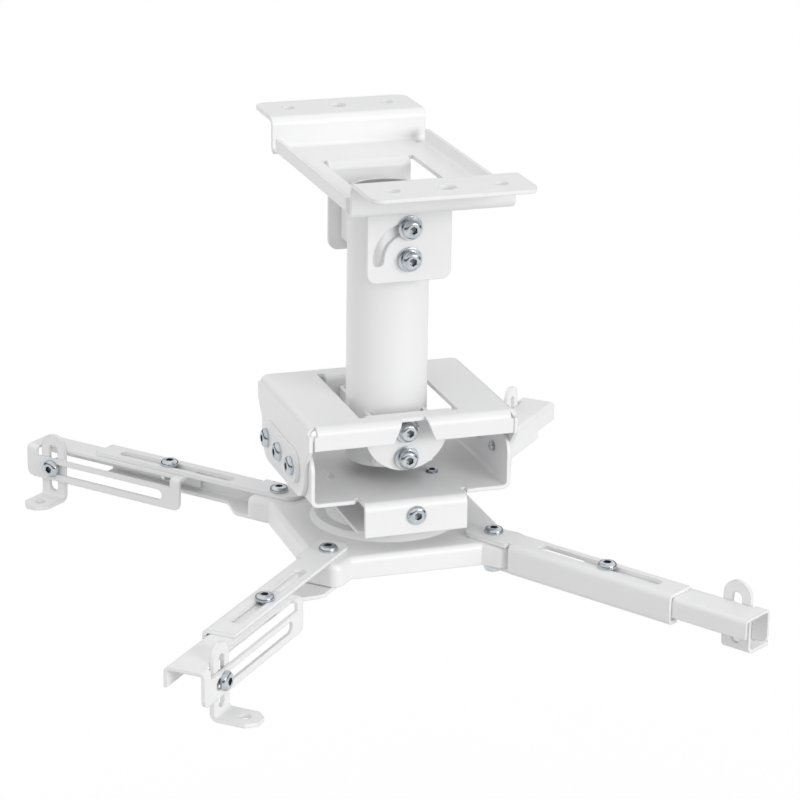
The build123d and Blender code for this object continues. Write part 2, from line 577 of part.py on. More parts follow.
save(tilt_yoke(), "tilt_yoke")
save(swivel_plate(), "swivel_plate")
tab_in = TONGUE_Y - 2 * SHEET
tongue_length = 2 * SHEET + M5["nut_h"] + 1
save(group(on_y(s, TONGUE_Y, TONGUE_BOLT_Z) * screw(M5, tongue_length) for s in SIDES), "tongue_screws")
save(group(on_y(s, tab_in, TONGUE_BOLT_Z) * nut(M5) for s in SIDES), "tongue_nuts")
set_top = TILT_FLOOR + SET_SCREW_TOP
grub = Pos(SET_SCREW_X, SET_SCREW_Y, set_top) * Cylinder(SET_SCREW_R, SET_SCREW_LEN, align=DOWN)
grub -= Pos(SET_SCREW_X, SET_SCREW_Y, set_top) * extrude(RegularPolygon(M5["hex_r"], 6), amount=-SHEET)
save(grub, "set_screw")

head_top = RING_TOP - SHEET - FACE_GAP - WASHER_H
bolt_end = TONGUE_BOTTOM + SHEET + M8["nut_h"] + 1
hexagon = extrude(Pos(0, 0, head_top) * RegularPolygon(M8["head_r"], 6), amount=-M8["head_h"])
save(hexagon + rod(M8["r"], (0, 0, head_top), (0, 0, bolt_end)), "swivel_bolt")
low_washer = Pos(0, 0, head_top) * washer(SWIVEL_WASHER_R, M8["r"] + HOLE_PLAY, WASHER_H)
high_washer = washer(SWIVEL_WASHER_R, M8["r"] + HOLE_PLAY, SWIVEL_SPACER)
high_washer = Pos(0, 0, TONGUE_BOTTOM - SWIVEL_SPACER) * high_washer
save(group([low_washer, high_washer]), "swivel_washers")
save(Pos(0, 0, TONGUE_BOTTOM + SHEET + M8["nut_h"]) * nut(M8), "swivel_nut")
save(spider(), "spider")

arm_sleeve = sleeve()
arm_slide = slide()
arm_foot = foot()
pivot_length = SLEEVE_TOP - SLEEVE_FLOOR + SHEET + M5["nut_h"] + 1
slide_length = SLEEVE_TOP - SLIDE_TOP + SLIDE_SHEET + M5["nut_h"] + 1
foot_length = SLIDE_WALL - FOOT_V + SHEET + M5["nut_h"] + 0.5
for name, leg, swing, out_share, along_share, lift_share in ARMS:
    pivot = Pos(PIVOT_R * cos(radians(leg)), PIVOT_R * sin(radians(leg)), 0) * Rot(0, 0, leg + swing)
    extend = SLOT_IN + out_share * (SLOT_OUT - SLOT_IN)
    along = WALL_SLOT_IN + along_share * (WALL_SLOT_OUT - WALL_SLOT_IN)
    raised = lift_share * FOOT_LIFT
    inner = pivot * Pos(extend - SLIDE_SCREW, 0, 0)
    carriage = inner * Pos(along, 0, 0)
    save(pivot * arm_sleeve, f"sleeve_{name}")
    save(pivot * Pos(0, 0, SLEEVE_TOP) * screw(M5, pivot_length), f"pivot_screw_{name}")
    save(pivot * Pos(0, 0, SLEEVE_FLOOR - SHEET) * nut(M5), f"pivot_nut_{name}")
    save(inner * arm_slide, f"slide_{name}")
    save(inner * Pos(SLIDE_SCREW, 0, SLEEVE_TOP + FACE_GAP) * screw(M5, slide_length), f"slide_screw_{name}")
    save(inner * Pos(SLIDE_SCREW, 0, SLIDE_TOP - SLIDE_SHEET) * nut(M5), f"slide_nut_{name}")
    head = carriage * on_y(1, SLIDE_WALL + FACE_GAP, FOOT_Z)
    save(head * screw(M5, foot_length + FACE_GAP), f"foot_screw_{name}")
    save(carriage * on_y(1, FOOT_V - SHEET - FACE_GAP, FOOT_Z) * nut(M5), f"foot_nut_{name}")
    save(carriage * Pos(0, 0, raised) * arm_foot, f"foot_{name}")
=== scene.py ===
# %% [markdown]
# # A white projector ceiling mount
# The mount is bent sheet steel with a powder coat, held together with zinc-plated socket screws. The
# solids come from the CAD frame in metres, and this lesson gives them their finish and swaps the plain
# screws, nuts and washers for modelled ones.

# %% Load the frame
import json
import math

import bmesh
import bpy
from mathutils import Matrix, Vector


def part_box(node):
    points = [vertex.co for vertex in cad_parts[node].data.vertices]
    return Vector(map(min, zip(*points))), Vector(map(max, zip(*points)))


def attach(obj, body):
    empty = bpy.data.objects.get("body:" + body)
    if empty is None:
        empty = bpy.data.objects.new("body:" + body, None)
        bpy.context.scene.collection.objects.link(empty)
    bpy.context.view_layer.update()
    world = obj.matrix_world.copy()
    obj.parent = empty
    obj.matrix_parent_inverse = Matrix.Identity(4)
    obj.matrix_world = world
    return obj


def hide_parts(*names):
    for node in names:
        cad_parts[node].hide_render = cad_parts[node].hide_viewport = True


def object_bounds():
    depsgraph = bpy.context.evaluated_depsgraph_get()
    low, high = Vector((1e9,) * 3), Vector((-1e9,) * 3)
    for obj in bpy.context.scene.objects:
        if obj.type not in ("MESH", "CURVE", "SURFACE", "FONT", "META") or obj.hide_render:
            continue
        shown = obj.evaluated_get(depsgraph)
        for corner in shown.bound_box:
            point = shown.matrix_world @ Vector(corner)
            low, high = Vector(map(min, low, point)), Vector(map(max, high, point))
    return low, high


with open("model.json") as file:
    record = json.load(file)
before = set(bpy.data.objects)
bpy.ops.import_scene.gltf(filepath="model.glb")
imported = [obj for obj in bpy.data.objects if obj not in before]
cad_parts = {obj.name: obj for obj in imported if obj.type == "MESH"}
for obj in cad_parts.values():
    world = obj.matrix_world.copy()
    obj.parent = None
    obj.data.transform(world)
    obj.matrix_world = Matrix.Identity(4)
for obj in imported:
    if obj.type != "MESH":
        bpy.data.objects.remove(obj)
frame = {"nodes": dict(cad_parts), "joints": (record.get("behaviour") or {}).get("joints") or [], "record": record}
cad_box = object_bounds()
MM = 0.001
nodes = frame["nodes"]

# %% [markdown]
# ## Small helpers for materials
# Colours are written as the sRGB hex values a colour picker shows, and Blender mixes light in linear
# values, so one function turns the first into the second. A second one adds a shader node, sets its
# options and fills or links its inputs, which keeps each material readable as a list of steps. Two more
# add the nodes that every finish uses: a noise of a real size and a range for the roughness.


# %% Colour and node helpers
def linear(code):
    """Linear colour with full cover from an sRGB hex code."""
    parts = [int(code[i:i + 2], 16) / 255 for i in (1, 3, 5)]
    return [c / 12.92 if c <= 0.04045 else ((c + 0.055) / 1.055) ** 2.4 for c in parts] + [1.0]


def add_node(tree, kind, inputs=None, **settings):
    """Adds a shader node; an input is linked if it is given a socket, and set otherwise."""
    node = tree.nodes.new(kind)
    for name, value in settings.items():
        setattr(node, name, value)
    for name, value in (inputs or {}).items():
        if isinstance(value, bpy.types.NodeSocket):
            tree.links.new(value, node.inputs[name])
        else:
            node.inputs[name].default_value = value
    return node


def new_material(name):
    """Empty material and its node tree."""
    material = bpy.data.materials.new(name)
    material.use_nodes = True
    material.node_tree.nodes.clear()
    return material, material.node_tree


def noise(tree, place, size, detail):
    """Noise on the object's own coordinates, with patches of a real size."""
    return add_node(tree, "ShaderNodeTexNoise", {
        "Vector": place.outputs["Object"], "Scale": 1 / size, "Detail": detail})


def roughness(tree, pattern, smooth, rough):
    """Lets a noise carry the roughness between two values."""
    return add_node(tree, "ShaderNodeMapRange", {
        "Value": pattern.outputs["Fac"], "To Min": smooth, "To Max": rough})


print("material helpers ready")

# %% [markdown]
# ## White satin powder coat
# The sheets are dusted with white powder that is baked into a thick satin skin. The coat rounds the
# sheared edges a little, and it dries with a faint orange-peel ripple. The ripple is about 1 mm across on
# the real thing and is drawn at 1.6 mm so that it survives at this picture size. The Bevel node rounds the
# edges in the shading only, because the CAD solids have sharp ones and aren't changed.

# %% Powder coat material
COAT_EDGE = 0.7 * MM          # how far the coat rounds an edge
PEEL_SIZE = 1.6 * MM          # ripple width as drawn
PEEL_DEPTH = 0.2 * MM
PEEL_STRENGTH = 0.05          # share of that depth which the eye gets
CLOUD_SIZE = 45 * MM          # slow change of the coat's thickness

powder_coat, tree = new_material("powder_coat_white_satin")
place = add_node(tree, "ShaderNodeTexCoord")
cloud = noise(tree, place, CLOUD_SIZE, 2.0)
tint = add_node(tree, "ShaderNodeValToRGB", {"Fac": cloud.outputs["Fac"]})
tint.color_ramp.elements[0].color = linear("#EBEBEC")
tint.color_ramp.elements[1].color = linear("#F0F0F0")
peel = noise(tree, place, PEEL_SIZE, 1.5)
gloss = roughness(tree, peel, 0.36, 0.46)
soft_edge = add_node(tree, "ShaderNodeBevel", {"Radius": COAT_EDGE}, samples=6)
ripple = add_node(tree, "ShaderNodeBump", {
    "Height": peel.outputs["Fac"], "Normal": soft_edge.outputs["Normal"],
    "Strength": PEEL_STRENGTH, "Distance": PEEL_DEPTH})
coat_shader = add_node(tree, "ShaderNodeBsdfPrincipled", {
    "Base Color": tint.outputs["Color"], "Roughness": gloss.outputs["Result"],
    "Normal": ripple.outputs["Normal"], "IOR": 1.5, "Coat Weight": 0.15, "Coat Roughness": 0.25})
add_node(tree, "ShaderNodeOutputMaterial", {"Surface": coat_shader.outputs["BSDF"]})
print("material:", powder_coat.name)

# %% [markdown]
# ## Inside of the pole
# The inside of the pole gets painted shade: a grey colour that stands in for the shade deep in the tube. It could
# have a second material on its inner face, but the CAD mesh is left alone, so a copy of the coat changes to
# the grey of this painted shade wherever the surface lies nearer to the pole's axis than its outside does.

# %% Pole material
POLE_INSIDE = 18.5 * MM       # grey up to this distance from the axis
POLE_OUTSIDE = 19.5 * MM      # white from here

pole_coat = powder_coat.copy()
pole_coat.name = "powder_coat_white_painted_shade_inside_pole"
tree = pole_coat.node_tree
place, tint = tree.nodes["Texture Coordinate"], tree.nodes["Color Ramp"]
# Painted shade: grey inside the pole stands in for the shade deep in the tube; these nodes measure the distance
# from the axis as its mask.
sideways = add_node(tree, "ShaderNodeVectorMath", {0: place.outputs["Object"], 1: (1, 1, 0)},
                    operation="MULTIPLY")
reach = add_node(tree, "ShaderNodeVectorMath", {0: sideways.outputs["Vector"]}, operation="LENGTH")
outside = add_node(tree, "ShaderNodeMapRange", {
    "Value": reach.outputs["Value"], "From Min": POLE_INSIDE, "From Max": POLE_OUTSIDE})
# The inputs and the output of a colour Mix share their names with others, so they go by number.
pole_painted_shade_tint = add_node(tree, "ShaderNodeMix", {
    0: outside.outputs["Result"], 6: linear("#A9A9A8"), 7: tint.outputs["Color"]}, data_type="RGBA")
tree.links.new(pole_painted_shade_tint.outputs[2], tree.nodes["Principled BSDF"].inputs["Base Color"])
print("material:", pole_coat.name)

# %% [markdown]
# ## Bright zinc plating
# The screws are steel with a thin zinc plating and a bluish passivation. It reflects like a metal, with
# faint drifts of blue and grey and fine drawing marks that change the roughness. Deep in a socket a second
# finish is duller, and its colour is painted darker as painted shade for the socket's hollow, so the hexagon
# reads as a grey spot in a bright head.

# %% Zinc materials
MARK_SIZE = 0.35 * MM         # fine marks left by forming the heads
MARK_DEPTH = 0.05 * MM
MARK_STRENGTH = 0.04          # share of that depth which the eye gets
DRIFT_SIZE = 4 * MM           # patches of blue and grey in the passivation

zinc, tree = new_material("zinc_plated_steel_blue_passivated")
place = add_node(tree, "ShaderNodeTexCoord")
drift = noise(tree, place, DRIFT_SIZE, 2.0)
tint = add_node(tree, "ShaderNodeValToRGB", {"Fac": drift.outputs["Fac"]})
tint.color_ramp.elements[0].position = 0.35
tint.color_ramp.elements[0].color = linear("#B6C0C9")
tint.color_ramp.elements[1].position = 0.65
tint.color_ramp.elements[1].color = linear("#D0D2D2")
marks = noise(tree, place, MARK_SIZE, 3.0)
gloss = roughness(tree, marks, 0.14, 0.26)
fine = add_node(tree, "ShaderNodeBump", {
    "Height": marks.outputs["Fac"], "Strength": MARK_STRENGTH, "Distance": MARK_DEPTH})
zinc_shader = add_node(tree, "ShaderNodeBsdfPrincipled", {
    "Base Color": tint.outputs["Color"], "Roughness": gloss.outputs["Result"],
    "Normal": fine.outputs["Normal"], "Metallic": 1.0})
add_node(tree, "ShaderNodeOutputMaterial", {"Surface": zinc_shader.outputs["BSDF"]})

# Painted shade: the socket's zinc is painted darker for the shade in its hollow, and it is also made duller.
socket_zinc_with_painted_shade = zinc.copy()
socket_zinc_with_painted_shade.name = "zinc_plated_steel_dull_painted_shade_in_socket"
socket_painted_shade_tint = socket_zinc_with_painted_shade.node_tree.nodes["Color Ramp"].color_ramp
socket_painted_shade_tint.elements[0].color = linear("#74797E")
socket_painted_shade_tint.elements[1].color = linear("#878B8E")
dull_gloss = socket_zinc_with_painted_shade.node_tree.nodes["Map Range"].inputs
dull_gloss["To Min"].default_value = 0.35
dull_gloss["To Max"].default_value = 0.50
print("materials:", zinc.name, "and", socket_zinc_with_painted_shade.name)

# %% [markdown]
# ## Finish of the CAD solids
# Every CAD node carries a slot name from the record. The painted sheets take the powder coat and the
# fasteners the zinc; the mesh itself is left alone.

# %% Assign the finishes
finish = {"powder_coat": powder_coat, "zinc": zinc}
slot_of = {entry["node"]: entry["material_slot"] for entry in frame["record"]["subparts"]}
for name, node in nodes.items():
    for material_slot in node.material_slots:
        material_slot.material = pole_coat if name == "pole_tube" else finish[slot_of[name]]
for slot in finish:
    print(slot, "nodes:", list(slot_of.values()).count(slot))

# %% [markdown]
# ## A round part from a half outline
# Screws, nuts and washers are turned shapes, so each starts as a half outline that is spun round the z
# axis. The spin is a full turn with its seam merged. Forty-eight steps put a vertex on each corner of a
# hexagon, so that a ring of vertices can be moved onto a hexagon for a socket or for the flats of a nut.
# Sizes in these helpers are millimetres, as they stand in the tables for screws.

# %% Turning helpers
STEPS = 48
MERGE = 1e-6                  # vertices nearer than this are one
IN_SOCKET = 1                 # place of the dull zinc among a turned part's materials
GROOVE = 0.54                 # depth of a thread, as a share of its pitch
THREAD_END = 0.3              # chamfer at the end of a thread
SOCKET_LEAD = 0.1             # chamfer where a socket starts
SOCKET_CONE = 0.4             # height of the drill's cone, as a share of the socket's depth


def turned(outline):
    """Half outline [(radius, height), ...] in millimetres, spun once round z."""
    bm = bmesh.new()
    verts = [bm.verts.new((r * MM, 0.0, z * MM)) for r, z in outline]
    edges = [bm.edges.new(pair) for pair in zip(verts, verts[1:])]
    bmesh.ops.spin(bm, geom=verts + edges, cent=(0, 0, 0), axis=(0, 0, 1), dvec=(0, 0, 0),
                   angle=2 * math.pi, steps=STEPS, use_merge=True, use_duplicate=False)
    bmesh.ops.remove_doubles(bm, verts=bm.verts, dist=MERGE)
    return bm


def hexagon_reach(vert, across_flats):
    """Distance from the axis to the side of a hexagon, in the direction of a vertex."""
    angle = math.atan2(vert.co.y, vert.co.x)
    return across_flats / 2 * MM / math.cos((angle + math.pi / 6) % (math.pi / 3) - math.pi / 6)


def put_at(vert, reach):
    """Moves a vertex straight out or in to a distance from the axis."""
    vert.co.xy = vert.co.xy.normalized() * reach


def thread(radius, pitch, top, bottom):
    """Outline of thread ridges from top down to bottom, with a chamfered end."""
    root = radius - GROOVE * pitch
    points = [(radius, top)]
    z = top
    while z - pitch > bottom + THREAD_END:
        # One turn: down to the flat bottom of the groove and up to the flat crest of the next ridge.
        points += [(root, z - 0.45 * pitch), (root, z - 0.55 * pitch),
                   (radius, z - 0.95 * pitch), (radius, z - pitch)]
        z -= pitch
    return points + [(root, z - 0.5 * pitch), (root, bottom + THREAD_END), (root - THREAD_END, bottom),
                     (0, bottom)]


def socket(bm, across_flats, depth):
    """Closes the open ring at the top of a head with a hexagon socket, its bottom a drilled cone."""
    ring = [e for e in bm.edges if e.is_boundary]
    lead = bmesh.ops.extrude_edge_only(bm, edges=ring)["geom"]
    for vert in (g for g in lead if isinstance(g, bmesh.types.BMVert)):
        put_at(vert, hexagon_reach(vert, across_flats))
        vert.co.z -= SOCKET_LEAD * MM
    ring = [g for g in lead if isinstance(g, bmesh.types.BMEdge)]
    walls = bmesh.ops.extrude_edge_only(bm, edges=ring)["geom"]
    foot = [g for g in walls if isinstance(g, bmesh.types.BMVert)]
    bmesh.ops.translate(bm, verts=foot, vec=(0, 0, -depth * MM))
    bottom = bmesh.ops.holes_fill(bm, edges=[e for e in bm.edges if e.is_boundary], sides=0)["faces"]
    cone = bmesh.ops.poke(bm, faces=bottom)
    for point in cone["verts"]:
        point.co.z -= SOCKET_CONE * depth * MM
    # The socket's walls and cone take the dull zinc, whose darker colour is painted shade.
    for face in cone["faces"] + [g for g in walls if isinstance(g, bmesh.types.BMFace)]:
        face.material_index = IN_SOCKET


print("turning helpers ready,", STEPS, "steps a turn")

# %% [markdown]
# ## Placing the turned parts
# Every turned part is made at the origin with z along its axis. The helper joins the copies of one CAD node
# into one object, with their place in the mesh, hands the object to the body it rides on and lets it stand
# in for the plain CAD node. Edges sharper than 35 degrees stay crisp, the rest is shaded smooth.

# %% Placing helpers
CRISP = math.radians(35)
UPWARDS = Vector((0, 0, 1))
body_of = {node: body for body, members in frame["record"]["behaviour"]["bodies"].items() for node in members}


def pointing(at, way):
    """Matrix that puts the origin at a point and z along a direction."""
    turn = UPWARDS.rotation_difference(Vector(way).normalized())
    return Matrix.Translation(Vector(at)) @ turn.to_matrix().to_4x4()


def stand_in(node, part, places):
    """Puts copies of a turned part at the given places, in the stead of a CAD node."""
    bmesh.ops.recalc_face_normals(part, faces=part.faces)
    one = bpy.data.meshes.new("one")
    part.to_mesh(one)
    part.free()
    whole = bmesh.new()
    for place in places:
        copy = one.copy()
        copy.transform(place)
        whole.from_mesh(copy)
        bpy.data.meshes.remove(copy)
    bpy.data.meshes.remove(one)
    mesh = bpy.data.meshes.new(node + "_turned")
    whole.to_mesh(mesh)
    whole.free()
    mesh.materials.append(zinc)
    if any(face.material_index == IN_SOCKET for face in mesh.polygons):
        mesh.materials.append(socket_zinc_with_painted_shade)
    mesh.shade_smooth()
    mesh.set_sharp_from_angle(angle=CRISP)
    obj = bpy.data.objects.new(node + "_turned", mesh)
    bpy.context.scene.collection.objects.link(obj)
    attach(obj, body_of[node])
    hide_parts(node)


print("bodies with fasteners:", len(set(body_of[n] for n in slot_of if slot_of[n] == "zinc")))

# %% [markdown]
# ## Button head screws
# The real screws are 5 mm ones with a low domed head and a hexagon socket. The dome is a quarter ellipse in
# the half outline, and the shank has thread ridges. The ridges are rings and not a helix, which nobody can
# tell apart at this size.

# %% Screw builder
SCREW_R = 2.5
PITCH = 0.8
HEAD_R = 4.75
HEAD_H = 2.75
HEAD_RIM = 0.25 * HEAD_H      # height of the head's straight rim under the dome
HEAD_EDGE = 0.1               # broken edge under the head
NECK = 0.2                    # rounding between head and shank
SOCKET_FLATS = 3.5
SOCKET_DEPTH = 2.0
SOCKET_MOUTH = 0.74 * SOCKET_FLATS      # radius of the ring in which the hexagon is cut
DOME_STEPS = 9


def button_screw(length):
    """Screw with its head standing on z = 0 and its shank reaching down."""
    dome = []
    for i in range(DOME_STEPS + 1):
        a = i / DOME_STEPS * math.pi / 2
        dome.append((SOCKET_MOUTH + (HEAD_R - SOCKET_MOUTH) * math.sin(a),
                     HEAD_RIM + (HEAD_H - HEAD_RIM) * math.cos(a)))
    under = [(HEAD_R, HEAD_EDGE), (HEAD_R - HEAD_EDGE, 0.0), (SCREW_R + NECK, 0.0)]
    bm = turned(dome + under + thread(SCREW_R, PITCH, -NECK, -length))
    socket(bm, SOCKET_FLATS, SOCKET_DEPTH)
    return bm


head_h = HEAD_H * MM
head_r = HEAD_R * MM
print("button screw:", 2 * SCREW_R, "mm with a head of", 2 * HEAD_R, "mm")

# %% [markdown]
# ## Screws of the pole, the yokes and the tongues
# The CAD boxes say where these groups sit: the outer faces of the heads give the seats, and the head radius
# leads from the box's edge to the axis of each screw. Each place gets a screw that points outwards.

# %% Pole, yoke and tongue screws
POLE_SCREW = 20.15            # lengths under the head
TILT_SCREW = 8.15
TONGUE_SCREW = 9.0
SIDES = (-1, 1)
REAR = 1
pole_places = []
for node in ("pole_pivot_screws", "pole_lock_screws"):
    low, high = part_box(node)
    places = [(side, z) for side in SIDES for z in (low.z + head_r, high.z - head_r)]
    if node == "pole_lock_screws":
        places.remove((REAR, high.z - head_r))     # the ceiling plate's rear ear has no slot
    stand_in(node, button_screw(POLE_SCREW),
             [pointing((0, side * (high.y - head_h), z), (0, side, 0)) for side, z in places])
    pole_places += places
for node, rows in (("tilt_pivot_screws", (0,)), ("tilt_lock_screws", SIDES)):
    low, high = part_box(node)
    z = (low.z + high.z) / 2
    stand_in(node, button_screw(TILT_SCREW),
             [pointing((side * (high.x - head_h), row * (high.y - head_r), z), (side, 0, 0))
              for side in SIDES for row in rows])
low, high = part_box("tongue_screws")
stand_in("tongue_screws", button_screw(TONGUE_SCREW),
         [pointing((0, side * (high.y - head_h), (low.z + high.z) / 2), (0, side, 0)) for side in SIDES])
print("screws on the pole:", len(pole_places))

# %% [markdown]
# ## Screws of the arms
# Each arm has three: the pivot screw and the slide screw stand upright, and the foot screw lies across the
# arm. The joint that extends the arm gives the arm's direction, and with it the axis of the foot screw.

# %% Arm screws
ARM_NAMES = ("fl", "bl", "fr", "br")
along = {j["name"].removeprefix("extend_"): Vector(j["axis"])
         for j in frame["joints"] if j["name"].startswith("extend_")}
across = {arm: UPWARDS.cross(along[arm]) for arm in ARM_NAMES}


def span(node, way):
    """Least and greatest reach of a CAD node along a direction, and the middle of its box."""
    low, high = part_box(node)
    reach = [corner.co.dot(way) for corner in nodes[node].data.vertices]
    return min(reach), max(reach), (low + high) / 2


def foot_line(node, arm):
    """Least and greatest reach of a foot's screw or nut across its arm, and where its axis starts."""
    least, most, middle = span(node, across[arm])
    start = sum(span(node, along[arm])[:2]) / 2 * along[arm] + Vector((0, 0, middle.z))
    return least, most, start


for arm in ARM_NAMES:
    for node in ("pivot_screw_" + arm, "slide_screw_" + arm):
        least, most, middle = span(node, UPWARDS)
        seat = most - head_h
        stand_in(node, button_screw((seat - least) / MM), [pointing((middle.x, middle.y, seat), UPWARDS)])
    node = "foot_screw_" + arm
    least, most, start = foot_line(node, arm)
    seat = most - head_h
    stand_in(node, button_screw((seat - least) / MM), [pointing(start + across[arm] * seat, across[arm])])
print("screws on the arms:", 3 * len(ARM_NAMES))

# %% [markdown]
# ## Nuts
# A hexagon nut is chamfered so that its corners are cut back in curved facets. The ring is turned first.
# Then the outer vertices are moved onto the hexagon and lowered as far as they stand out past the flats,
# at 30 degrees, which is how the cutter makes those curves.

# %% Nut builder
NUT_FLATS = 8.0
NUT_H = 4.0
CHAMFER = math.tan(math.radians(30))
FACE_IN = 0.1                 # the flat face stops this far inside the flats
FACE_DOWN = 0.02              # and the flats start this far below it
BORE_OUT = 0.1                # the bore's countersink, out from the thread
BORE_DOWN = 0.5               # and down into the nut


def cut_flats(bm, flats, height, ends):
    """Moves the rim of a turned disc, which hangs from z = 0, onto a hexagon; chamfers the ends named."""
    for vert in bm.verts:
        if vert.co.xy.length > (flats / 2 - FACE_IN / 2) * MM:
            reach = hexagon_reach(vert, flats)
            drop = (reach - flats / 2 * MM) * CHAMFER
            end = "top" if vert.co.z > -height / 2 * MM else "bottom"
            if end in ends:
                vert.co.z += -drop if end == "top" else drop
            put_at(vert, reach)


def hexagon_nut(radius, pitch, flats, height):
    """Nut hanging below z = 0."""
    bore, mouth, face, side = radius - 0.5 * pitch, radius + BORE_OUT, flats / 2 - FACE_IN, flats / 2
    bm = turned([(mouth, 0), (face, 0), (side, -FACE_DOWN), (side, -height + FACE_DOWN), (face, -height),
                 (mouth, -height), (bore, -height + BORE_DOWN), (bore, -BORE_DOWN), (mouth, 0)])
    cut_flats(bm, flats, height, ("top", "bottom"))
    return bm


def screw_nut():
    """Nut of the button head screws."""
    return hexagon_nut(SCREW_R, PITCH, NUT_FLATS, NUT_H)


for arm in ARM_NAMES:
    turn = Matrix.Rotation(math.atan2(along[arm].y, along[arm].x), 4, "Z")
    for node in ("pivot_nut_" + arm, "slide_nut_" + arm):
        _, most, middle = span(node, UPWARDS)
        stand_in(node, screw_nut(), [Matrix.Translation((middle.x, middle.y, most)) @ turn])
    node = "foot_nut_" + arm
    _, most, start = foot_line(node, arm)
    stand_in(node, screw_nut(), [pointing(start + across[arm] * most, across[arm])])
low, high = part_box("tongue_nuts")
stand_in("tongue_nuts", screw_nut(),
         [pointing((0, side * high.y, (low.z + high.z) / 2), (0, side, 0)) for side in SIDES])
print("nuts:", 3 * len(ARM_NAMES) + len(SIDES))

# %% [markdown]
# ## Washers of the pole screws
# Under each pole screw lie a flat washer with edges rounded by the punch and a spring washer. The spring
# washer is a square bar wound once with a gap, so its section is spun a little less than a full turn while
# it climbs.

# %% Washers
WASHER_R = 6.0
WASHER_H = 1.5
WASHER_EDGE = 0.25            # rounding of the edges
BORE_PLAY = 0.15              # a washer's bore is this much wider than its screw, all round
SPRING_R = 4.7
SPRING_H = 1.6
SPRING_CLIMB = 0.15
SPRING_GAP = math.radians(14)


def flat_washer(radius, bore, height):
    """Washer standing on z = 0, its edges rounded, the outer ones with a point in the middle of the curve."""
    e = WASHER_EDGE
    m = 0.3 * e
    return turned([(bore, e), (bore + e, 0), (radius - e, 0), (radius - m, m), (radius, e),
                   (radius, height - e), (radius - m, height - m), (radius - e, height),
                   (bore + e, height), (bore, height - e), (bore, e)])


def spring_washer(radius, bore, height):
    """Split washer standing on z = 0."""
    bm = bmesh.new()
    tall = height - SPRING_CLIMB
    corners = [(bore, 0), (radius, 0), (radius, tall), (bore, tall)]
    section = bm.faces.new([bm.verts.new((r * MM, 0, z * MM)) for r, z in corners])
    bmesh.ops.spin(bm, geom=[section] + list(section.edges) + list(section.verts), cent=(0, 0, 0),
                   axis=(0, 0, 1), dvec=(0, 0, SPRING_CLIMB * MM / STEPS), angle=2 * math.pi - SPRING_GAP,
                   steps=STEPS, use_merge=False, use_duplicate=False)
    bmesh.ops.remove_doubles(bm, verts=bm.verts, dist=MERGE)
    return bm


low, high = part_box("pole_washers")
seat = high.y - WASHER_H * MM
stand_in("pole_washers", flat_washer(WASHER_R, SCREW_R + BORE_PLAY, WASHER_H),
         [pointing((0, side * seat, z), (0, side, 0)) for side, z in pole_places])
seat = high.y
stand_in("pole_spring_washers", spring_washer(SPRING_R, SCREW_R + BORE_PLAY, SPRING_H),
         [pointing((0, side * seat, z), (0, side, 0)) for side, z in pole_places])
print("washers:", 2 * len(pole_places))

# %% [markdown]
# ## Swivel bolt and set screw
# The spider turns on an 8 mm hexagon bolt with a nut and two large washers. Its head is a chamfered hexagon,
# so the nut's outline serves again, with a shank in the place of the bore. The set screw in the yoke's floor
# has no head, only a socket in its end.

# %% Swivel bolt, its nut and washers, and the set screw
BOLT_R = 4.0
BOLT_PITCH = 1.25
BOLT_FLATS = 12.8
BOLT_HEAD = 5.3
SPACER_R = 12.0
SPACER_H = 1.45
SET_R = 3.0
SET_PITCH = 1.0
SET_EDGE = 0.5                # chamfer round the set screw's end
SET_FLATS = 3.0
SET_MOUTH = 0.7 * SET_FLATS   # radius of the ring in which its hexagon is cut
SET_DEPTH = 2.0


def hexagon_bolt(length):
    """Bolt with its head below z = 0 and its shank upwards."""
    face, side = BOLT_FLATS / 2 - FACE_IN, BOLT_FLATS / 2
    head = [(0, -BOLT_HEAD), (face, -BOLT_HEAD), (side, -BOLT_HEAD + FACE_DOWN), (side, -FACE_DOWN), (face, 0)]
    bm = turned(head + [(r, -z) for r, z in thread(BOLT_R, BOLT_PITCH, 0, -length)])
    cut_flats(bm, BOLT_FLATS, BOLT_HEAD, ("bottom",))
    return bm


def set_screw(length):
    """Headless screw hanging below z = 0."""
    end = [(SET_MOUTH, 0), (SET_R - SET_EDGE, 0), (SET_R, -SET_EDGE)]
    bm = turned(end + thread(SET_R, SET_PITCH, -SET_EDGE, -length)[1:])
    socket(bm, SET_FLATS, SET_DEPTH)
    return bm


low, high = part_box("swivel_bolt")
stand_in("swivel_bolt", hexagon_bolt((high.z - low.z) / MM - BOLT_HEAD),
         [Matrix.Translation((0, 0, low.z + BOLT_HEAD * MM))])
low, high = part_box("swivel_nut")
stand_in("swivel_nut", hexagon_nut(BOLT_R, BOLT_PITCH, BOLT_FLATS, (high.z - low.z) / MM),
         [Matrix.Translation((0, 0, high.z))])
low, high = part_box("swivel_washers")
stand_in("swivel_washers", flat_washer(SPACER_R, BOLT_R + BORE_PLAY, SPACER_H),
         [Matrix.Translation((0, 0, z)) for z in (low.z, high.z - SPACER_H * MM)])
low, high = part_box("set_screw")
stand_in("set_screw", set_screw((high.z - low.z) / MM),
         [Matrix.Translation(((low.x + high.x) / 2, (low.y + high.y) / 2, high.z))])
print("swivel bolt, nut, washers and set screw turned")

# %% [markdown]
# ## White floor
# The photograph is a product picture on white. The mount hangs, so the floor lies well below it and catches
# a faint shadow. It is white paper to the camera and in reflections, lifted by a little light of its own up
# to the white of the picture, and greyer for the light it throws back, which keeps the undersides from
# glowing.

# %% Floor
FLOOR_GAP = 0.35              # metres from the mount down to the floor
FLOOR_HALF = 8.0              # half the floor's width in metres
PAPER_LIFT = 0.045            # brings the lit paper up to white for the camera


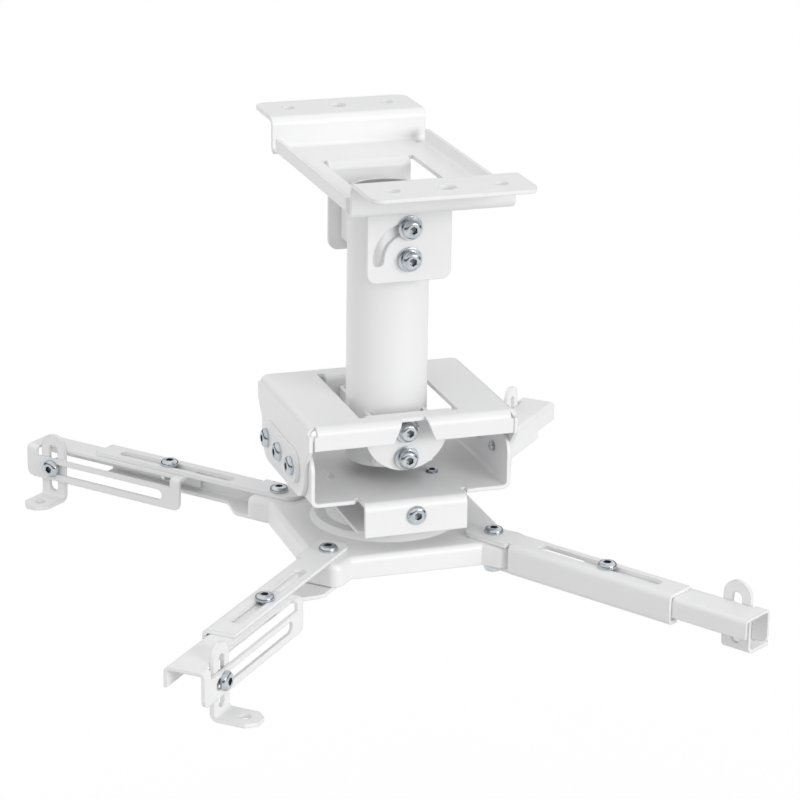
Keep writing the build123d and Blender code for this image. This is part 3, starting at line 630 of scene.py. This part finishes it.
def picture_rays(tree):
    """One for rays of the camera, of reflections and of glass, zero for light from surface to surface."""
    rays = add_node(tree, "ShaderNodeLightPath")
    mirrored = add_node(tree, "ShaderNodeMath", {
        0: rays.outputs["Is Glossy Ray"], 1: rays.outputs["Is Transmission Ray"]}, operation="MAXIMUM")
    seen = add_node(tree, "ShaderNodeMath", {
        0: rays.outputs["Is Camera Ray"], 1: mirrored.outputs["Value"]}, operation="MAXIMUM")
    return seen.outputs["Value"]


def studio_piece(name, bm, material):
    """Object of the studio from a finished bmesh."""
    mesh = bpy.data.meshes.new(name)
    bm.to_mesh(mesh)
    bm.free()
    mesh.materials.append(material)
    obj = bpy.data.objects.new(name, mesh)
    bpy.context.scene.collection.objects.link(obj)
    return obj


paper, tree = new_material("white_paper_floor")
thrown = add_node(tree, "ShaderNodeBsdfDiffuse", {"Color": linear("#CFCFCF")})
white = add_node(tree, "ShaderNodeBsdfDiffuse", {"Color": linear("#FEFEFE")})
lift = add_node(tree, "ShaderNodeEmission", {"Color": linear("#FFFFFF"), "Strength": PAPER_LIFT})
bright = add_node(tree, "ShaderNodeAddShader", {0: white.outputs["BSDF"], 1: lift.outputs["Emission"]})
both = add_node(tree, "ShaderNodeMixShader", {
    0: picture_rays(tree), 1: thrown.outputs["BSDF"], 2: bright.outputs["Shader"]})
add_node(tree, "ShaderNodeOutputMaterial", {"Surface": both.outputs["Shader"]})

floor_z = cad_box[0][2] - FLOOR_GAP
bm = bmesh.new()
bmesh.ops.create_grid(bm, x_segments=1, y_segments=1, size=FLOOR_HALF)
bmesh.ops.translate(bm, verts=bm.verts, vec=(0, 0, floor_z))
floor = studio_piece("floor", bm, paper)
print("floor at", round(floor_z, 3), "m")

# %% [markdown]
# ## Dark band for the metal
# Bright metal in an all-white room looks like paint. A photographer stands dark cards round it, outside the
# picture, and their reflections draw the edges of the heads. Here one band of dark card runs round the mount.
# Only reflections see it, so it neither shows in a picture nor takes light from the white sheets.

# %% Dark band
BAND_R = 3.0                  # metres
BAND_LOW = -0.40
BAND_HIGH = 0.75

card, tree = new_material("dark_grey_card")
dark = add_node(tree, "ShaderNodeBsdfDiffuse", {"Color": linear("#5F656C")})
add_node(tree, "ShaderNodeOutputMaterial", {"Surface": dark.outputs["BSDF"]})

bm = bmesh.new()
bmesh.ops.create_cone(bm, cap_ends=False, segments=96, radius1=BAND_R, radius2=BAND_R,
                      depth=BAND_HIGH - BAND_LOW)
bmesh.ops.translate(bm, verts=bm.verts, vec=(0, 0, (BAND_LOW + BAND_HIGH) / 2))
band = studio_piece("dark_band", bm, card)
band.visible_camera = band.visible_diffuse = band.visible_shadow = band.visible_transmission = False
print("dark band", BAND_R, "m away")

# %% [markdown]
# ## Room and sun
# In the photograph the light is soft, from above and from the front right, and the left faces are a light
# grey. The room is bright overhead and to the left and darker towards the front, where a studio is dark
# behind the camera, and a wide sun gives the light from the front right. Both light the floor evenly, which
# keeps it white to the picture's edges. To the camera and in reflections the room is plain white.

# %% Room and sun
ROOM_DARK = "#2C2E30"
ROOM_BRIGHT = "#FFFFFF"
BRIGHT_WAY = (-0.55, 0.25, 0.80)
ROOM_TURN = 0.6               # the room goes from dark to bright between minus and plus this along that way
SUN_STRENGTH = 1.58
SUN_WIDTH = 30                # degrees
SUN_AT = (0, 0, 1)            # a sun shines the same from any place
SUN_FROM = Vector((0.50, -0.86, 0.22))

scene = bpy.context.scene
scene.view_settings.view_transform = "Standard"
room = bpy.data.worlds.new("white_room")
room.use_nodes = True
scene.world = room
tree = room.node_tree
tree.nodes.clear()
way = add_node(tree, "ShaderNodeTexCoord")
facing = add_node(tree, "ShaderNodeVectorMath", {0: way.outputs["Generated"], 1: BRIGHT_WAY},
                  operation="DOT_PRODUCT")
spread = add_node(tree, "ShaderNodeMapRange", {
    "Value": facing.outputs["Value"], "From Min": -ROOM_TURN, "From Max": ROOM_TURN})
shade = add_node(tree, "ShaderNodeValToRGB", {"Fac": spread.outputs["Result"]})
shade.color_ramp.elements[0].color = linear(ROOM_DARK)
shade.color_ramp.elements[1].color = linear(ROOM_BRIGHT)
lit = add_node(tree, "ShaderNodeBackground", {"Color": shade.outputs["Color"], "Strength": 1.0})
white = add_node(tree, "ShaderNodeBackground", {"Color": linear("#FFFFFF"), "Strength": 1.0})
both = add_node(tree, "ShaderNodeMixShader", {
    0: picture_rays(tree), 1: lit.outputs["Background"], 2: white.outputs["Background"]})
add_node(tree, "ShaderNodeOutputWorld", {"Surface": both.outputs["Shader"]})

sun_light = bpy.data.lights.new("soft_sun", "SUN")
sun_light.energy = SUN_STRENGTH
sun_light.angle = math.radians(SUN_WIDTH)
sun = bpy.data.objects.new("soft_sun", sun_light)
sun.matrix_world = pointing(SUN_AT, SUN_FROM)
scene.collection.objects.link(sun)
print("room and sun set, sun strength", SUN_STRENGTH)

# %% [markdown]
# ## Camera
# The place, turn and focal length come from matching known points of the mount, such as holes and screw
# heads, with the photograph. The turn goes to the right of +Y, and the camera looks down and is rolled a
# little.

# %% Camera
CAMERA_AT = Vector((-444.2, -1334.5, 349.5)) * MM
TURN, DOWN, ROLL = (math.radians(a) for a in (18.688, 18.805, 0.883))
FOCAL_PIXELS = 3018.3
IMAGE = 800                   # width of the photograph in pixels

ahead = Vector((math.sin(TURN) * math.cos(DOWN), math.cos(TURN) * math.cos(DOWN), -math.sin(DOWN)))
right = ahead.cross(UPWARDS).normalized()
up = right.cross(ahead)
right, up = right * math.cos(ROLL) + up * math.sin(ROLL), up * math.cos(ROLL) - right * math.sin(ROLL)
lens = bpy.data.cameras.new("camera")
lens.sensor_width = 36.0
lens.lens = FOCAL_PIXELS * lens.sensor_width / IMAGE
camera = bpy.data.objects.new("camera", lens)
camera.matrix_world = Matrix.Translation(CAMERA_AT) @ Matrix((right, up, -ahead)).transposed().to_4x4()
scene.collection.objects.link(camera)
scene.camera = camera
print("camera", round(lens.lens, 1), "mm at", [round(c, 3) for c in CAMERA_AT])
